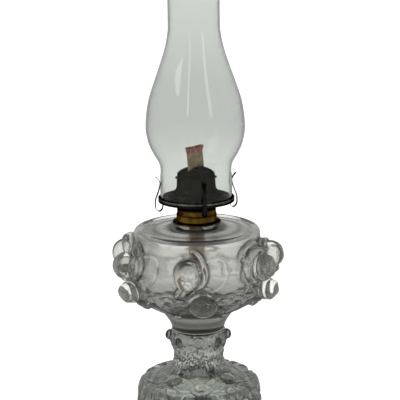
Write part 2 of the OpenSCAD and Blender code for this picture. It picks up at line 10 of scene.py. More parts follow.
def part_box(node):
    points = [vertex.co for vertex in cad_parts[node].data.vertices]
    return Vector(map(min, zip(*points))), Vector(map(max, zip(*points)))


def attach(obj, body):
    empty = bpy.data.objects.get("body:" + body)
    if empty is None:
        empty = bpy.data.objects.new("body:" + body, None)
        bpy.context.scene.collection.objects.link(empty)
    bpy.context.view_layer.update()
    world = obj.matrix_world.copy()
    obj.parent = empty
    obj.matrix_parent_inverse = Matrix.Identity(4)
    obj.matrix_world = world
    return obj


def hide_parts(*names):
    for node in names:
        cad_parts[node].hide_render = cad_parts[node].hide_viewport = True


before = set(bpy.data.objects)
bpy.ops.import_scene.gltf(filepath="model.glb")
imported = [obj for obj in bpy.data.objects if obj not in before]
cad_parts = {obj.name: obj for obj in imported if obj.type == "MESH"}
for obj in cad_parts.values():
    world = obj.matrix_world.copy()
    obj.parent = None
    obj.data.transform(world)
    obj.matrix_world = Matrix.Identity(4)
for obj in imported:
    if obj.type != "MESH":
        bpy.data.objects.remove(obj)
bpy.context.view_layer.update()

MM = 0.001
FRONT = math.radians(-90)
QUARTER = math.pi / 2


# Camera: the photograph's viewpoint, worked out from the lamp's ellipses and heights
CAMERA_AWAY = 1.48
CAMERA_HEIGHT = 0.607
CAMERA_TILT = math.radians(13.08)
CAMERA_ROLL = math.radians(-0.8)
CAMERA_PAN = math.radians(-0.15)
FOCAL_PX = 1425
FRAME_PX = 400


def make_camera():
    data = bpy.data.cameras.new("camera")
    data.sensor_width = 36
    data.lens = data.sensor_width * FOCAL_PX / FRAME_PX
    camera = bpy.data.objects.new("camera", data)
    bpy.context.scene.collection.objects.link(camera)
    camera.matrix_world = (
        Matrix.Translation((0, -CAMERA_AWAY, CAMERA_HEIGHT))
        @ Matrix.Rotation(CAMERA_PAN, 4, "Z")
        @ Matrix.Rotation(math.radians(90) - CAMERA_TILT, 4, "X")
        @ Matrix.Rotation(CAMERA_ROLL, 4, "Z")
    )
    bpy.context.scene.camera = camera


make_camera()


# Outlines: lists of (radius, height) in millimetres
def smooth(points, steps):
    """A smooth curve through the points, with that many steps to a span."""
    p = np.array(points, float)
    out = []
    for i in range(len(p) - 1):
        a, b, c, d = p[max(i - 1, 0)], p[i], p[i + 1], p[min(i + 2, len(p) - 1)]
        for t in np.arange(steps) / steps:
            out.append(
                0.5 * (2 * b + (c - a) * t + (2 * a - 5 * b + 4 * c - d) * t * t
                       + (3 * b - a - 3 * c + d) * t ** 3)
            )
    out.append(p[-1])
    return np.array(out)


def lengths(outline):
    """Distance along an outline at each of its points."""
    return np.concatenate([[0], np.cumsum(np.linalg.norm(np.diff(outline, axis=0), axis=1))])


def even(outline, step):
    """The same outline with points about one step apart."""
    s = lengths(outline)
    at = np.linspace(0, s[-1], max(2, int(round(s[-1] / step)) + 1))
    return np.stack([np.interp(at, s, outline[:, 0]), np.interp(at, s, outline[:, 1])], 1)


def mix(a, b, t):
    return a + (b - a) * t


def ease(t):
    t = np.clip(t, 0, 1)
    return t * t * (3 - 2 * t)


def bump(distance, width):
    """1 on the line, falling smoothly to 0 at that distance from it."""
    return ease(1 - np.abs(distance) / width)


def soften(grid, cells=2):
    """The same grid smoothed over its neighbours, which wrap round but not up the lamp."""
    for _ in range(3):
        padded = np.concatenate([grid[:1]] * cells + [grid] + [grid[-1:]] * cells)
        grid = sum(padded[k:k + len(grid)] for k in range(2 * cells + 1)) / (2 * cells + 1)
        grid = sum(np.roll(grid, k, 1) for k in range(-cells, cells + 1)) / (2 * cells + 1)
    return grid


# Surfaces of revolution that can carry relief
class Lathe:
    """A grid of points: rings along an outline, each with the same number of turns."""

    def __init__(self, outline, turns):
        self.r, self.z = outline[:, 0], outline[:, 1]
        self.s = lengths(outline)
        self.angle = 2 * math.pi * np.arange(turns) / turns
        radial = np.stack([np.cos(self.angle), np.sin(self.angle)], 1)
        self.points = np.zeros((len(outline), turns, 3))
        self.points[..., :2] = self.r[:, None, None] * radial[None]
        self.points[..., 2] = self.z[:, None]
        # Painted light and shade that a boss's own detail sets on its points
        self.painted_boss_shade = np.zeros(self.points.shape[:2])
        along = np.gradient(outline, axis=0)
        along /= np.linalg.norm(along, axis=1, keepdims=True)
        self.normals = np.zeros_like(self.points)
        self.normals[..., :2] = along[:, 1][:, None, None] * radial[None]
        self.normals[..., 2] = -along[:, 0][:, None]

    def local(self, azimuth, s):
        """Distances round and along the surface from a place on it, in millimetres."""
        turn = (self.angle - azimuth + math.pi) % (2 * math.pi) - math.pi
        return self.r[:, None] * turn[None], np.broadcast_to(
            (self.s - s)[:, None], (len(self.s), len(self.angle))
        )

    def frame_at(self, azimuth, s):
        """The place itself and the directions round it, along it and out of it."""
        r, z = np.interp(s, self.s, self.r), np.interp(s, self.s, self.z)
        k = int(np.argmin(np.abs(self.s - s)))
        j = int(np.argmin(np.abs((self.angle - azimuth + math.pi) % (2 * math.pi) - math.pi)))
        place = np.array([r * math.cos(azimuth), r * math.sin(azimuth), z])
        round_ = np.array([-math.sin(azimuth), math.cos(azimuth), 0])
        out = self.normals[k, j]
        return place, round_, np.cross(out, round_), out

    def raise_by(self, height):
        self.points += self.normals * height[..., None]

    def shade(self, relief_as_shade=0.0):
        """Painted shade for each point: dark in a groove, light on a ridge, 0.5 on plain ground,
        and no darker than a boss's own painted light on a boss.

        relief_as_shade adds relief in millimetres that is too fine to stand up here, so it is only
        painted as shade.
        """
        out = ((self.points - soften(self.points)) * self.normals).sum(-1)
        if np.ndim(relief_as_shade):
            out += relief_as_shade - soften(relief_as_shade)
        return np.clip(np.maximum(0.5 + 0.6 * out, self.painted_boss_shade), 0, 1)

    def s_at(self, z):
        """Distance along the outline where it first reaches that height on its outer side."""
        return float(self.s[int(np.argmax(self.z >= z))])

    def stamp(self, azimuth, s, radii, sink, detail=None, lean=0.0, soft=0.3, level=False):
        """Press an ellipsoid boss out of the surface.

        radii are round, along and out of the surface; sink is how far its centre lies under the
        surface, as a share of the last; detail(polar, around) adds height in millimetres; level
        points it straight out from the axis instead of square to the surface.
        """
        x, y = self.local(azimuth, s)
        x, y = x * math.cos(lean) + y * math.sin(lean), -x * math.sin(lean) + y * math.cos(lean)
        end = math.acos(np.clip(sink, -0.95, 0.95))
        rim = math.sin(end) if end < math.pi / 2 else 1.0
        share = np.hypot(x / radii[0], y / radii[1]) / rim
        inside = share < 1
        around = np.arctan2(y / radii[1], x / radii[0])[inside]
        polar = share[inside] * end
        place, round_, up, out = self.frame_at(azimuth, s)
        if level:
            out = np.array([math.cos(azimuth), math.sin(azimuth), 0])
            up = np.array([0, 0, 1])
        across = round_ * math.cos(lean) + up * math.sin(lean)
        upright = up * math.cos(lean) - round_ * math.sin(lean)
        folds = detail(polar, around) if detail else 0 * polar
        grow = 1 + folds / radii[2]
        ball = (
            place
            - out * sink * radii[2]
            + (grow * np.sin(polar) * np.cos(around))[:, None] * across * radii[0]
            + (grow * np.sin(polar) * np.sin(around))[:, None] * upright * radii[1]
            + (grow * np.cos(polar))[:, None] * out * radii[2]
        )
        blend = ease((1 - share[inside]) / soft)[:, None]
        self.points[inside] = self.points[inside] * (1 - blend) + ball * blend
        # Painted light on a boss with detail: 0.74 grey, lighter on its folds' ridges and darker in their
        # valleys, fading out at its rim
        if detail:
            self.painted_boss_shade[inside] = blend[:, 0] * (0.74 + 0.3 * folds)


    def ball(self, azimuth, z, centre_r, radii, detail=None, lean=0.0, soft=0.15):
        """Press a boss whose centre is centre_r from the axis at height z, pointing level."""
        s = self.s_at(z)
        sink = (float(np.interp(s, self.s, self.r)) - centre_r) / radii[2]
        self.stamp(azimuth, s, radii, sink, detail, lean, soft, level=True)


def mesh_object(name, points, faces, body, sharp=None):
    """A new piece with its points in millimetres, riding on a body."""
    mesh = bpy.data.meshes.new(name)
    mesh.from_pydata((np.asarray(points) * MM).tolist(), [], faces)
    mesh.validate()
    mesh.update()
    obj = bpy.data.objects.new(name, mesh)
    bpy.context.scene.collection.objects.link(obj)
    mesh.shade_smooth()
    if sharp:
        mesh.set_sharp_from_angle(angle=math.radians(sharp))
    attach(obj, body)
    return obj


def band_faces(low, low_turns, high, high_turns):
    """Faces between two rings of points, each given by its first index and its count of turns.

    Quads where both have the same count; else each span of the coarser ring takes a fan.
    """
    if low_turns == high_turns:
        follow = [(j, (j + 1) % low_turns) for j in range(low_turns)]
        return [(low + j, low + k, high + k, high + j) for j, k in follow]
    fine, coarse = (low, high) if low_turns > high_turns else (high, low)
    n, total = min(low_turns, high_turns), max(low_turns, high_turns)
    ratio = total // n
    faces = []
    for j in range(n):
        k = (j + 1) % n
        for i in range(ratio):
            corner = j if i < ratio // 2 else k
            at = ratio * j + i
            faces.append((coarse + corner, fine + at, fine + (at + 1) % total))
        faces.append((coarse + j, fine + ratio * j + ratio // 2, coarse + k))
    return faces if fine == low else [f[::-1] for f in faces]


def revolved(name, parts, body, loop=False, sharp=None):
    """One closed skin through grids of rings, closed on the axis at both ends unless it loops."""
    rings = [ring for part in parts for ring in part]
    starts = np.cumsum([0] + [len(ring) for ring in rings])
    flat = np.concatenate(rings)
    faces = []
    for i in range(len(rings) if loop else len(rings) - 1):
        k = (i + 1) % len(rings)
        faces += band_faces(int(starts[i]), len(rings[i]), int(starts[k]), len(rings[k]))
    if not loop:
        first, last = len(flat), len(flat) + 1
        flat = np.concatenate([flat, [[0, 0, rings[0][0, 2]], [0, 0, rings[-1][0, 2]]]])
        top, n = int(starts[-2]), len(rings[-1])
        faces += [(first, (j + 1) % len(rings[0]), j) for j in range(len(rings[0]))]
        faces += [(last, top + j, top + (j + 1) % n) for j in range(n)]
    return mesh_object(name, flat, faces, body, sharp)


def store_shade(obj, *grids):
    """Keep painted shade and light for each point of a piece: grids of (first point, values), plain elsewhere.
    """
    grey = np.full(len(obj.data.vertices), 0.6)
    for start, values in grids:
        grey[start:start + values.size] = values.ravel()
    obj.data.attributes.new("shade", "FLOAT", "POINT").data.foreach_set("value", grey)


# Relief motifs for the pressed glass; heights in millimetres
def turned(x, y, x0, y0, angle, bend=0.0):
    """Coordinates of a motif that starts at (x0, y0), turned by an angle and bent along its way."""
    a, b = x - x0, y - y0
    u = a * math.cos(angle) + b * math.sin(angle)
    v = -a * math.sin(angle) + b * math.cos(angle)
    return u + bend * v * v, v


def petal(x, y, x0, y0, wide, tall, angle, height, lip=0.6):
    """A rounded petal that lies on the ground, dished, with a lip round its edge."""
    a, b = turned(x, y, x0, y0, angle)
    share = np.hypot(a / wide, b / tall)
    pad = ease((1 - share) / 0.22) * (0.55 + 0.45 * np.clip(share, 0, 1) ** 2)
    return height * pad + lip * bump(share - 0.84, 0.13)


def leaf(x, y, x0, y0, angle, long, wide, height, bend=0.0, veins=5):
    """A pointed leaf that starts at (x0, y0), with a midrib groove and slanting veins."""
    u, v = turned(x, y, x0, y0, angle, bend)
    t = v / long
    reach = wide * np.sin(math.pi * np.clip(t, 0, 1) ** 0.75) ** 0.9 + 1e-6
    across = np.abs(u) / reach
    inside = ease((1 - across) / 0.35) * (t > 0) * (t < 1)
    vein = np.abs(((t - 0.3 * across) * veins) % 1 - 0.5)
    groove = 0.30 * bump(vein, 0.17) + 0.45 * bump(u, 1.0)
    return height * inside * (1 - groove)


def crescent(x, y, radius, wide, start, sweep, height, flare=0.0):
    """A petal bent round a bud: a thick arc that tapers at both ends and may swing out at one."""
    around = (np.arctan2(y, x) - start) % (2 * math.pi)
    t = around / sweep
    line = radius + flare * ease((t - 0.6) / 0.4)
    half = wide * np.sin(math.pi * np.clip(t, 0, 1)) ** 0.55 + 1e-6
    share = np.clip(np.abs(np.hypot(x, y) - line) / half, 0, 1)
    return height * np.sqrt(1 - share ** 2) * (t < 1) * np.sin(math.pi * np.clip(t, 0, 1)) ** 0.3


def swirl(polar, around, pitch, height, petals=1.3, turn=0.0):
    """Petals that wind round each other: each climbs to its soft lip and drops to the next."""
    wound = polar / pitch + (around + turn) / (2 * math.pi)
    f = wound - np.floor(wound)
    along = (around + turn) - 2 * math.pi * np.floor(wound)
    lip = 0.45 + 0.55 * np.sqrt(np.abs(np.sin(petals * along / 2)))
    return height * lip * (f ** 1.4) * ease((1 - f) / 0.25)


def rose_face(polar, around):
    """Close petals in the heart of an open rose and broad ones round it."""
    heart = swirl(polar, around, 0.6, 1.5, 1.7)
    outer = swirl(polar, around, 0.75, 2.2, 1.25, 1.0)
    share = ease((polar - 0.6) / 0.3)
    return heart * (1 - share) + outer * share - 0.8


def bud_face(polar, around):
    """A smooth bud with one petal's edge wrapped round it."""
    edge = 0.95 - 0.45 * np.cos(around + 0.5)
    return 0.8 * ease((polar - edge) / 0.14) - 0.4


def petal_face(polar, around):
    """The outer petal of an open rose: smooth, with two curled edges."""
    across = polar * np.cos(around - 0.5)
    return 1.1 * ease((across + 0.25) / 0.2) + 0.9 * ease((across - 0.45) / 0.2) - 1.2


def drop_face(polar, around):
    return swirl(polar, around, 0.7, 1.7, 1.3, 2.2) - 0.9


def waves(points, count, size, seed):
    """Smooth noise on points: a sum of plane waves about that size in millimetres."""
    source = np.random.default_rng(seed)
    total = np.zeros(points.shape[:-1])
    for _ in range(count):
        way = source.normal(size=3)
        way *= 2 * math.pi / (size * source.uniform(0.6, 1.7)) / np.linalg.norm(way)
        total += np.sin(points @ way + source.uniform(0, 2 * math.pi))
    return total / math.sqrt(count)


# Sizes that the frame gives, in millimetres
def box_mm(node):
    low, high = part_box(node)
    return np.array(low) / MM, np.array(high) / MM


PED_TOP = box_mm("pedestal")[1][2]
NECK_TOP = box_mm("font")[1][2]
CHIMNEY_LOW, CHIMNEY_HIGH = box_mm("chimney")
WICK_LOW, WICK_HIGH = box_mm("wick")

# Font
NECK_H = 8.0
PLATE_RISE = 7.0
NECK_Z = NECK_TOP - NECK_H
SHOULDER_Z = NECK_Z - PLATE_RISE
FONT_Z = SHOULDER_Z - 110.0
JOINT_R = 28.5
BOWL_R = 74.0
SHOULDER_R = 68.0
FONT_WALL = 4.5
NECK_BORE_R = 17.6
NECK_R = 19.8
PEG_R = 18.0
PEG_DEPTH = 5.0
FONT_FLOOR = FONT_Z + 24.0
ROSES = 6
ROSE_R = 14.5
ROSE_Z = 78.0
ROSE_OUT = 8.0
ROSE_TURN = math.radians(-3)
BUD_TURN = math.radians(-4)
PETAL_R = 15.0
PETAL_OUT = 6.0
PETAL_TURN = math.radians(20)
DROP_R = 12.0
DROP_OUT = 8.5
DROP_SPREAD = 2.8
DROP_Z = 48.0
DROP_TURN = math.radians(4)
# What sets single balls off the even spacing: the turn of each drop, how low each rose hangs
DROP_SHIFT = (0, 0, 0, 0, 0, math.radians(-4))
ROSE_DROOP = (0, 0, 4, 0, 4, 0)
FINE_TURNS = 520
PLAIN_TURNS = 130


def font_outer():
    z = FONT_Z
    bowl = smooth([
        (JOINT_R, z), (JOINT_R + 0.8, z + 4), (JOINT_R + 3.5, z + 9.5), (JOINT_R + 7.5, z + 15.5),
        (JOINT_R + 12, z + 21.5), (0.725 * BOWL_R, z + 28.5), (0.9 * BOWL_R, z + 38),
        (0.985 * BOWL_R, z + 50), (BOWL_R, z + 64), (BOWL_R - 2, z + 79),
        (SHOULDER_R + 1, SHOULDER_Z - 18), (SHOULDER_R, SHOULDER_Z - 10),
        (SHOULDER_R - 0.1, SHOULDER_Z - 4.4), (SHOULDER_R - 0.9, SHOULDER_Z - 2),
        (SHOULDER_R - 2.6, SHOULDER_Z + 0.1), (SHOULDER_R - 5.5, SHOULDER_Z + 1.3),
    ], 8)
    plate = smooth([
        (SHOULDER_R - 5.5, SHOULDER_Z + 1.3), (SHOULDER_R - 8, SHOULDER_Z + 1.1),
        (SHOULDER_R - 11, SHOULDER_Z - 0.5), (SHOULDER_R - 14, SHOULDER_Z - 1.3),
        (SHOULDER_R - 18, SHOULDER_Z - 1.0),
        (NECK_R + 18, SHOULDER_Z + 0.3 * PLATE_RISE), (NECK_R + 10, SHOULDER_Z + 0.62 * PLATE_RISE),
        (NECK_R + 5, NECK_Z - 0.3), (NECK_R, NECK_Z - 0.2),
    ], 6)
    return bowl, plate


def font_inner():
    floor = FONT_FLOOR
    return smooth([
        (NECK_BORE_R, NECK_TOP - 0.3), (NECK_BORE_R, SHOULDER_Z + 0.7 * PLATE_RISE - FONT_WALL),
        (NECK_R + 12, SHOULDER_Z + 0.5 * PLATE_RISE - FONT_WALL),
        (SHOULDER_R - 16, SHOULDER_Z - 4.9), (SHOULDER_R - 8.5, SHOULDER_Z - 3.0),
        (SHOULDER_R - 5.6, SHOULDER_Z - 3.9), (SHOULDER_R - 4.2, SHOULDER_Z - 6),
        (SHOULDER_R - 4.0, SHOULDER_Z - 14), (BOWL_R - FONT_WALL - 4, floor + 59),
        (BOWL_R - FONT_WALL - 0.5, floor + 47), (BOWL_R - FONT_WALL - 1, floor + 34),
        (0.9 * BOWL_R - FONT_WALL, floor + 19), (0.7 * BOWL_R - FONT_WALL, floor + 8),
        (JOINT_R - 2, floor + 0.6), (1, floor),
    ], 5)


def font_ground(g):
    """Low relief over the bowl: leaves and petals between the balls, fine flutes at the stem."""
    s_low, s_top = g.s_at(FONT_Z + 8), g.s_at(SHOULDER_Z - 13)
    s_rose, s_drop = g.s_at(FONT_Z + ROSE_Z), g.s_at(FONT_Z + DROP_Z)
    turn = np.broadcast_to(g.angle[None], g.points.shape[:2])
    share = (g.s[:, None] - s_low) / (s_drop - s_low)
    height = 0.9 * (1 - np.abs(np.sin(18 * (turn - 0.5 * share)))) * bump(share - 0.45, 0.5)
    for i in range(ROSES):
        x, y = g.local(FRONT + ROSE_TURN + i * 2 * math.pi / ROSES, s_rose)
        for leaf_at in ((-9, -13, 2.35, 24, 6.5, 1.8, 0.012), (10, -13, -2.35, 24, 6.5, 1.8, -0.012)):
            height = np.maximum(height, leaf(x, y, *leaf_at))
        if i % 3 == 1:
            for k in range(4):
                a = 0.9 + 1.35 * k
                height = np.maximum(height, petal(
                    x, y, 15 * math.cos(a), 15 * math.sin(a), 12, 11, a, 2.6, 1.0))
        else:
            height = np.maximum(height, petal(x, y, 20, -1, 17, 20, -0.5, 1.3, 0.5))
        x, y = g.local(FRONT + DROP_TURN + i * 2 * math.pi / ROSES, s_drop)
        sway = np.sin(0.09 * np.abs(x))
        for line, half, high in ((6.5 - 3.0 * sway, 2.4, 2.8), (1.0 - 3.5 * sway, 2.6, 2.4)):
            height = np.maximum(height, high * bump(y - line, half) * (np.abs(x) < 40))
        for leaf_at in (
            (-4, 2, 1.25, 36, 6.5, 2.8, 0.02), (4, 2, -1.25, 36, 6.5, 2.8, -0.02),
            (-5, -5, 2.15, 34, 8.5, 3.0, 0.015), (6, -5, -2.15, 34, 8.5, 3.0, -0.015),
            (-2, -8, 2.75, 30, 8, 2.6, 0.01), (4, -8, -2.75, 30, 8, 2.6, -0.01),
        ):
            height = np.maximum(height, leaf(x, y, *leaf_at))
    height += 0.06 * waves(g.points, 24, 9, 3)
    height *= ease((g.s[:, None] - s_low) / 8) * ease((s_top - g.s[:, None]) / 6)
    # On the lower bowl most of the relief, and the garland's dark strokes, are only painted as shade
    low = ease((g.s_at(FONT_Z + 42) - g.s[:, None]) / 14)
    return height * (1 - 0.72 * low), height * 0.72 * low - garland_shadow(g, s_drop)


def garland_shadow(g, s_drop):
    """Painted shade in the garland between the drops: dark strokes and patches, as depth in millimetres that
    only the shade shows.
    """
    depth = np.zeros(g.points.shape[:2])
    for i in range(ROSES):
        x, y = g.local(FRONT + DROP_TURN + i * 2 * math.pi / ROSES, s_drop)
        side = np.abs(x)
        line = 2.6 * bump(y - 4.0 - 0.09 * (side - 18), 2.0) * ease((side - 15) / 4)
        depth = np.maximum(depth, line * ease((42 - side) / 4))
        for x0, y0, wide, tall in ((-35, 11, 9, 3.6), (30, 8, 10, 3.2), (-15, -11, 7, 5.5), (17, -9, 6, 5)):
            depth = np.maximum(depth, 2.4 * bump(np.hypot((x - x0) / wide, (y - y0) / tall), 1.0))
    return depth


def font_petals(g):
    """The petals that stand up round the balls: a thick crescent at a bud, shells at a rose."""
    s_rose, s_drop = g.s_at(FONT_Z + ROSE_Z), g.s_at(FONT_Z + DROP_Z)
    height = np.zeros(g.points.shape[:2])
    for i in range(ROSES):
        x, y = g.local(FRONT + ROSE_TURN + i * 2 * math.pi / ROSES, s_rose - 1.5 * ROSE_DROOP[i])
        if i % 3 == 1:
            height = np.maximum(height, crescent(x, y, 18.5, 3.4, -0.7, 2.6, 5.0, 2.0))
            height = np.maximum(height, crescent(x, y, 17.5, 3.0, 2.4, 2.6, 4.0))
            height = np.maximum(height, crescent(x + 2, y, 24.0, 3.2, 0.9, 1.9, 3.6))
        else:
            x = x - BUD_TURN * BOWL_R
            height = np.maximum(height, crescent(x, y, 16.6, 3.2, -1.3, 2.8, 7.0, 8.0))
            height = np.maximum(height, crescent(x + 1.5, y, 12.4, 2.4, -1.3, 2.3, 8.0))
        x, y = g.local(FRONT + DROP_TURN + i * 2 * math.pi / ROSES, s_drop)
        height = np.maximum(height, crescent(x, y, 14.2, 3.0, -2.9, 2.6, 3.6))
    return height


def make_font():
    bowl, plate = font_outer()
    g = Lathe(even(bowl, 0.95), FINE_TURNS)
    ground, relief_as_shade = font_ground(g)
    g.raise_by(ground)
    pitch = 2 * math.pi / ROSES
    s_seed = g.s_at(FONT_Z + 24.5)
    for i in range(ROSES):
        rose = FRONT + ROSE_TURN + i * pitch
        drop = FRONT + DROP_TURN + i * pitch + DROP_SHIFT[i]
        z = FONT_Z + ROSE_Z - ROSE_DROOP[i]
        g.stamp(FRONT + DROP_TURN + (i + 0.5) * pitch, s_seed, (5.8, 5.8, 5.6), 0.35)
        if i % 3 == 1:
            g.ball(rose + 0.018, z + 1.5, BOWL_R + ROSE_OUT - 1.05 * ROSE_R,
                   (19.0, 19.0, 19.0 - ROSE_DROOP[i]))
        else:
            g.ball(rose + BUD_TURN, z, BOWL_R + ROSE_OUT - 1.1 * ROSE_R,
                   (17.5, 17.5, 17.5), soft=0.25)
        g.ball(drop - 0.03, FONT_Z + DROP_Z + 4, BOWL_R + DROP_OUT - 1.0 * DROP_R, (14, 11.5, 13))
        if i % 3 == 1:
            g.ball(rose + PETAL_TURN, FONT_Z + ROSE_Z + 5, BOWL_R - 3, (18, 19, 17))
    g.raise_by(font_petals(g))
    for i in range(ROSES):
        rose = FRONT + ROSE_TURN + i * pitch
        drop = FRONT + DROP_TURN + i * pitch + DROP_SHIFT[i]
        z = FONT_Z + ROSE_Z - ROSE_DROOP[i]
        if i % 3 == 1:
            g.ball(rose + PETAL_TURN + 0.05, z - 8, BOWL_R + 5, (10.5, 10.5, 10.5), petal_face)
            g.ball(rose + PETAL_TURN, z + 5, BOWL_R + PETAL_OUT,
                   (PETAL_R - 0.5, PETAL_R, PETAL_R - 0.5), petal_face)
            g.ball(rose, z, BOWL_R + ROSE_OUT, (ROSE_R, ROSE_R, ROSE_R - 0.5), rose_face)
        else:
            g.ball(rose + 1.25 * BUD_TURN, z - 0.5, BOWL_R + ROSE_OUT,
                   (ROSE_R - 1.7, ROSE_R - 0.5, ROSE_R - 0.5), bud_face)
        g.ball(drop, FONT_Z + DROP_Z + (3.2 if i % 3 else -1.5), BOWL_R + DROP_OUT,
               (DROP_R + DROP_SPREAD, DROP_R - 0.3, DROP_R - 0.3), drop_face)
    top = Lathe(even(plate, 1.2), FINE_TURNS)
    neck = Lathe(np.array([
        (NECK_R, NECK_TOP - 0.3), (NECK_R - 0.4, NECK_TOP), (NECK_BORE_R + 0.3, NECK_TOP),
        (NECK_BORE_R, NECK_TOP - 0.3)]), PLAIN_TURNS)
    inner = Lathe(even(font_inner(), 2.5), PLAIN_TURNS)
    peg = Lathe(np.array([
        (1, FONT_Z - PEG_DEPTH - 0.6), (PEG_R - 0.4, FONT_Z - PEG_DEPTH - 0.6),
        (PEG_R, FONT_Z - PEG_DEPTH), (PEG_R, FONT_Z - 0.5), (JOINT_R - 0.4, FONT_Z - 0.15),
        (JOINT_R - 0.1, FONT_Z - 0.1)]), PLAIN_TURNS)
    obj = revolved("font_glass", [
        peg.points, g.points, top.points[1:], neck.points, inner.points[1:]], "stand", sharp=60)
    first = peg.points[..., 0].size
    out = np.hypot(top.points[1:, :, 0], top.points[1:, :, 1])
    # Painted shade on the plate: a dark ring 46 mm out and darker towards the neck; painted light towards the
    # shoulder
    ring = 0.6 - 0.5 * bump(out - 46.0, 6.0) - 0.43 * ease((36 - out) / 8)
    ring += 0.4 * ease((out - 56) / 4)
    # Painted highlight on the shoulder's rounded edge
    rim = ease((g.s - g.s_at(SHOULDER_Z - 4)) / 3)[:, None]
    store_shade(obj, (first, np.maximum(g.shade(relief_as_shade), rim)),
                (first + g.points[..., 0].size, ring))
    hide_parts("font")
    return obj


# Pedestal
FOOT_R = 76.0
FOOT_EDGE_H = 6.0
PED_SHOULDER_R = 61.0
PED_SHOULDER_Z = 59.0
WAIST_R = 26.5
WAIST_Z = 89.0
PED_WALL = 6.0
PED_ROSE_R = 11.0
PED_ROSE_STEP = 8.0
CROWN_R = 5.0
CROWN_Z = mix(WAIST_Z, PED_TOP, 0.74)


def ped_outer():
    def z(t):
        return mix(PED_SHOULDER_Z, WAIST_Z, t)

    return smooth([
        (FOOT_R, 0.4), (FOOT_R, FOOT_EDGE_H), (FOOT_R - 3, FOOT_EDGE_H + 9),
        (mix(PED_SHOULDER_R, FOOT_R, 0.52), 0.5 * PED_SHOULDER_Z),
        (PED_SHOULDER_R + 3.5, 0.76 * PED_SHOULDER_Z), (PED_SHOULDER_R, PED_SHOULDER_Z),
        (PED_SHOULDER_R - 3.8, z(0.15)), (mix(WAIST_R, PED_SHOULDER_R, 0.66), z(0.24)),
        (mix(WAIST_R, PED_SHOULDER_R, 0.48), z(0.33)), (mix(WAIST_R, PED_SHOULDER_R, 0.22), z(0.53)),
        (WAIST_R + 2.6, z(0.76)),
        (WAIST_R, WAIST_Z), (WAIST_R + 0.8, mix(WAIST_Z, PED_TOP, 0.25)),
        (JOINT_R + 1, mix(WAIST_Z, PED_TOP, 0.48)), (JOINT_R + 2.5, mix(WAIST_Z, PED_TOP, 0.7)),
        (JOINT_R, PED_TOP - 0.3),
    ], 8)


def ped_inner():
    return smooth([
        (1, WAIST_Z - 9), (0.5 * WAIST_R, WAIST_Z - 16),
        (PED_SHOULDER_R - 13 - PED_WALL, PED_SHOULDER_Z),
        (PED_SHOULDER_R - 2 - PED_WALL, PED_SHOULDER_Z - 6),
        (PED_SHOULDER_R + 3 - PED_WALL, 0.72 * PED_SHOULDER_Z),
        (mix(PED_SHOULDER_R, FOOT_R, 0.35) - PED_WALL, 0.42 * PED_SHOULDER_Z),
        (FOOT_R - PED_WALL - 4, FOOT_EDGE_H + 5), (FOOT_R - PED_WALL, 0.4),
    ], 5)


def ped_relief(g):
    """Broad folds, petals and leaves that fall over the shoulder, and a stippled stem."""
    s_foot, s_stem = g.s_at(FOOT_EDGE_H + 3), g.s_at(WAIST_Z - 3)
    s_rose, s_top = g.s_at(PED_SHOULDER_Z + 6), g.s_at(PED_TOP - 4)
    turn = np.broadcast_to(g.angle[None], g.points.shape[:2])
    share = np.clip((g.s[:, None] - s_foot) / (s_stem - s_foot), 0, 1)
    folds = np.abs(np.cos(4 * (turn - FRONT) + 0.8 * np.sin(3 * share))) ** 0.8
    height = 1.4 * folds * bump(share - 0.62, 0.5)
    for i in range(4):
        x, y = g.local(FRONT + i * QUARTER, s_rose)
        for a, out, wide in ((0.45, 19, 15), (2.7, 19, 15), (4.2, 20, 17), (5.3, 20, 17)):
            height = np.maximum(height, petal(
                x, y, out * math.cos(a), out * math.sin(a), wide, 0.8 * wide, a, 3.6, 0.3))
        x, y = g.local(FRONT + (i + 0.5) * QUARTER, s_stem)
        for x0, y0, angle, long, wide in ((-2, 4, 2.7, 32, 10), (-3, -34, 2.7, 36, 13), (4, -34, -2.6, 36, 13)):
            height = np.maximum(height, leaf(x, y, x0, y0, angle, long, wide, 3.6, 0.01, 1.0))
    height *= ease((g.s[:, None] - s_foot) / 5) * ease((s_stem + 6 - g.s[:, None]) / 8)
    high = ease((g.s[:, None] - g.s_at(PED_SHOULDER_Z + 2)) / 9)
    stipple = waves(g.points, 70, 4.4, 11)
    stem = ease((g.s[:, None] - s_stem + 9) / 10) * ease((s_top - 3 - g.s[:, None]) / 5)
    fine = stem * 0.55 * stipple + 0.12 * waves(g.points, 24, 7, 5)
    # Above the shoulder much of the relief is only painted as shade
    return height * (1 - 0.7 * high) + fine, height * 0.35 * high


def ped_rose_face(polar, around):
    return swirl(polar, around, 0.6, 1.8, 1.3, 0.6) - 0.8


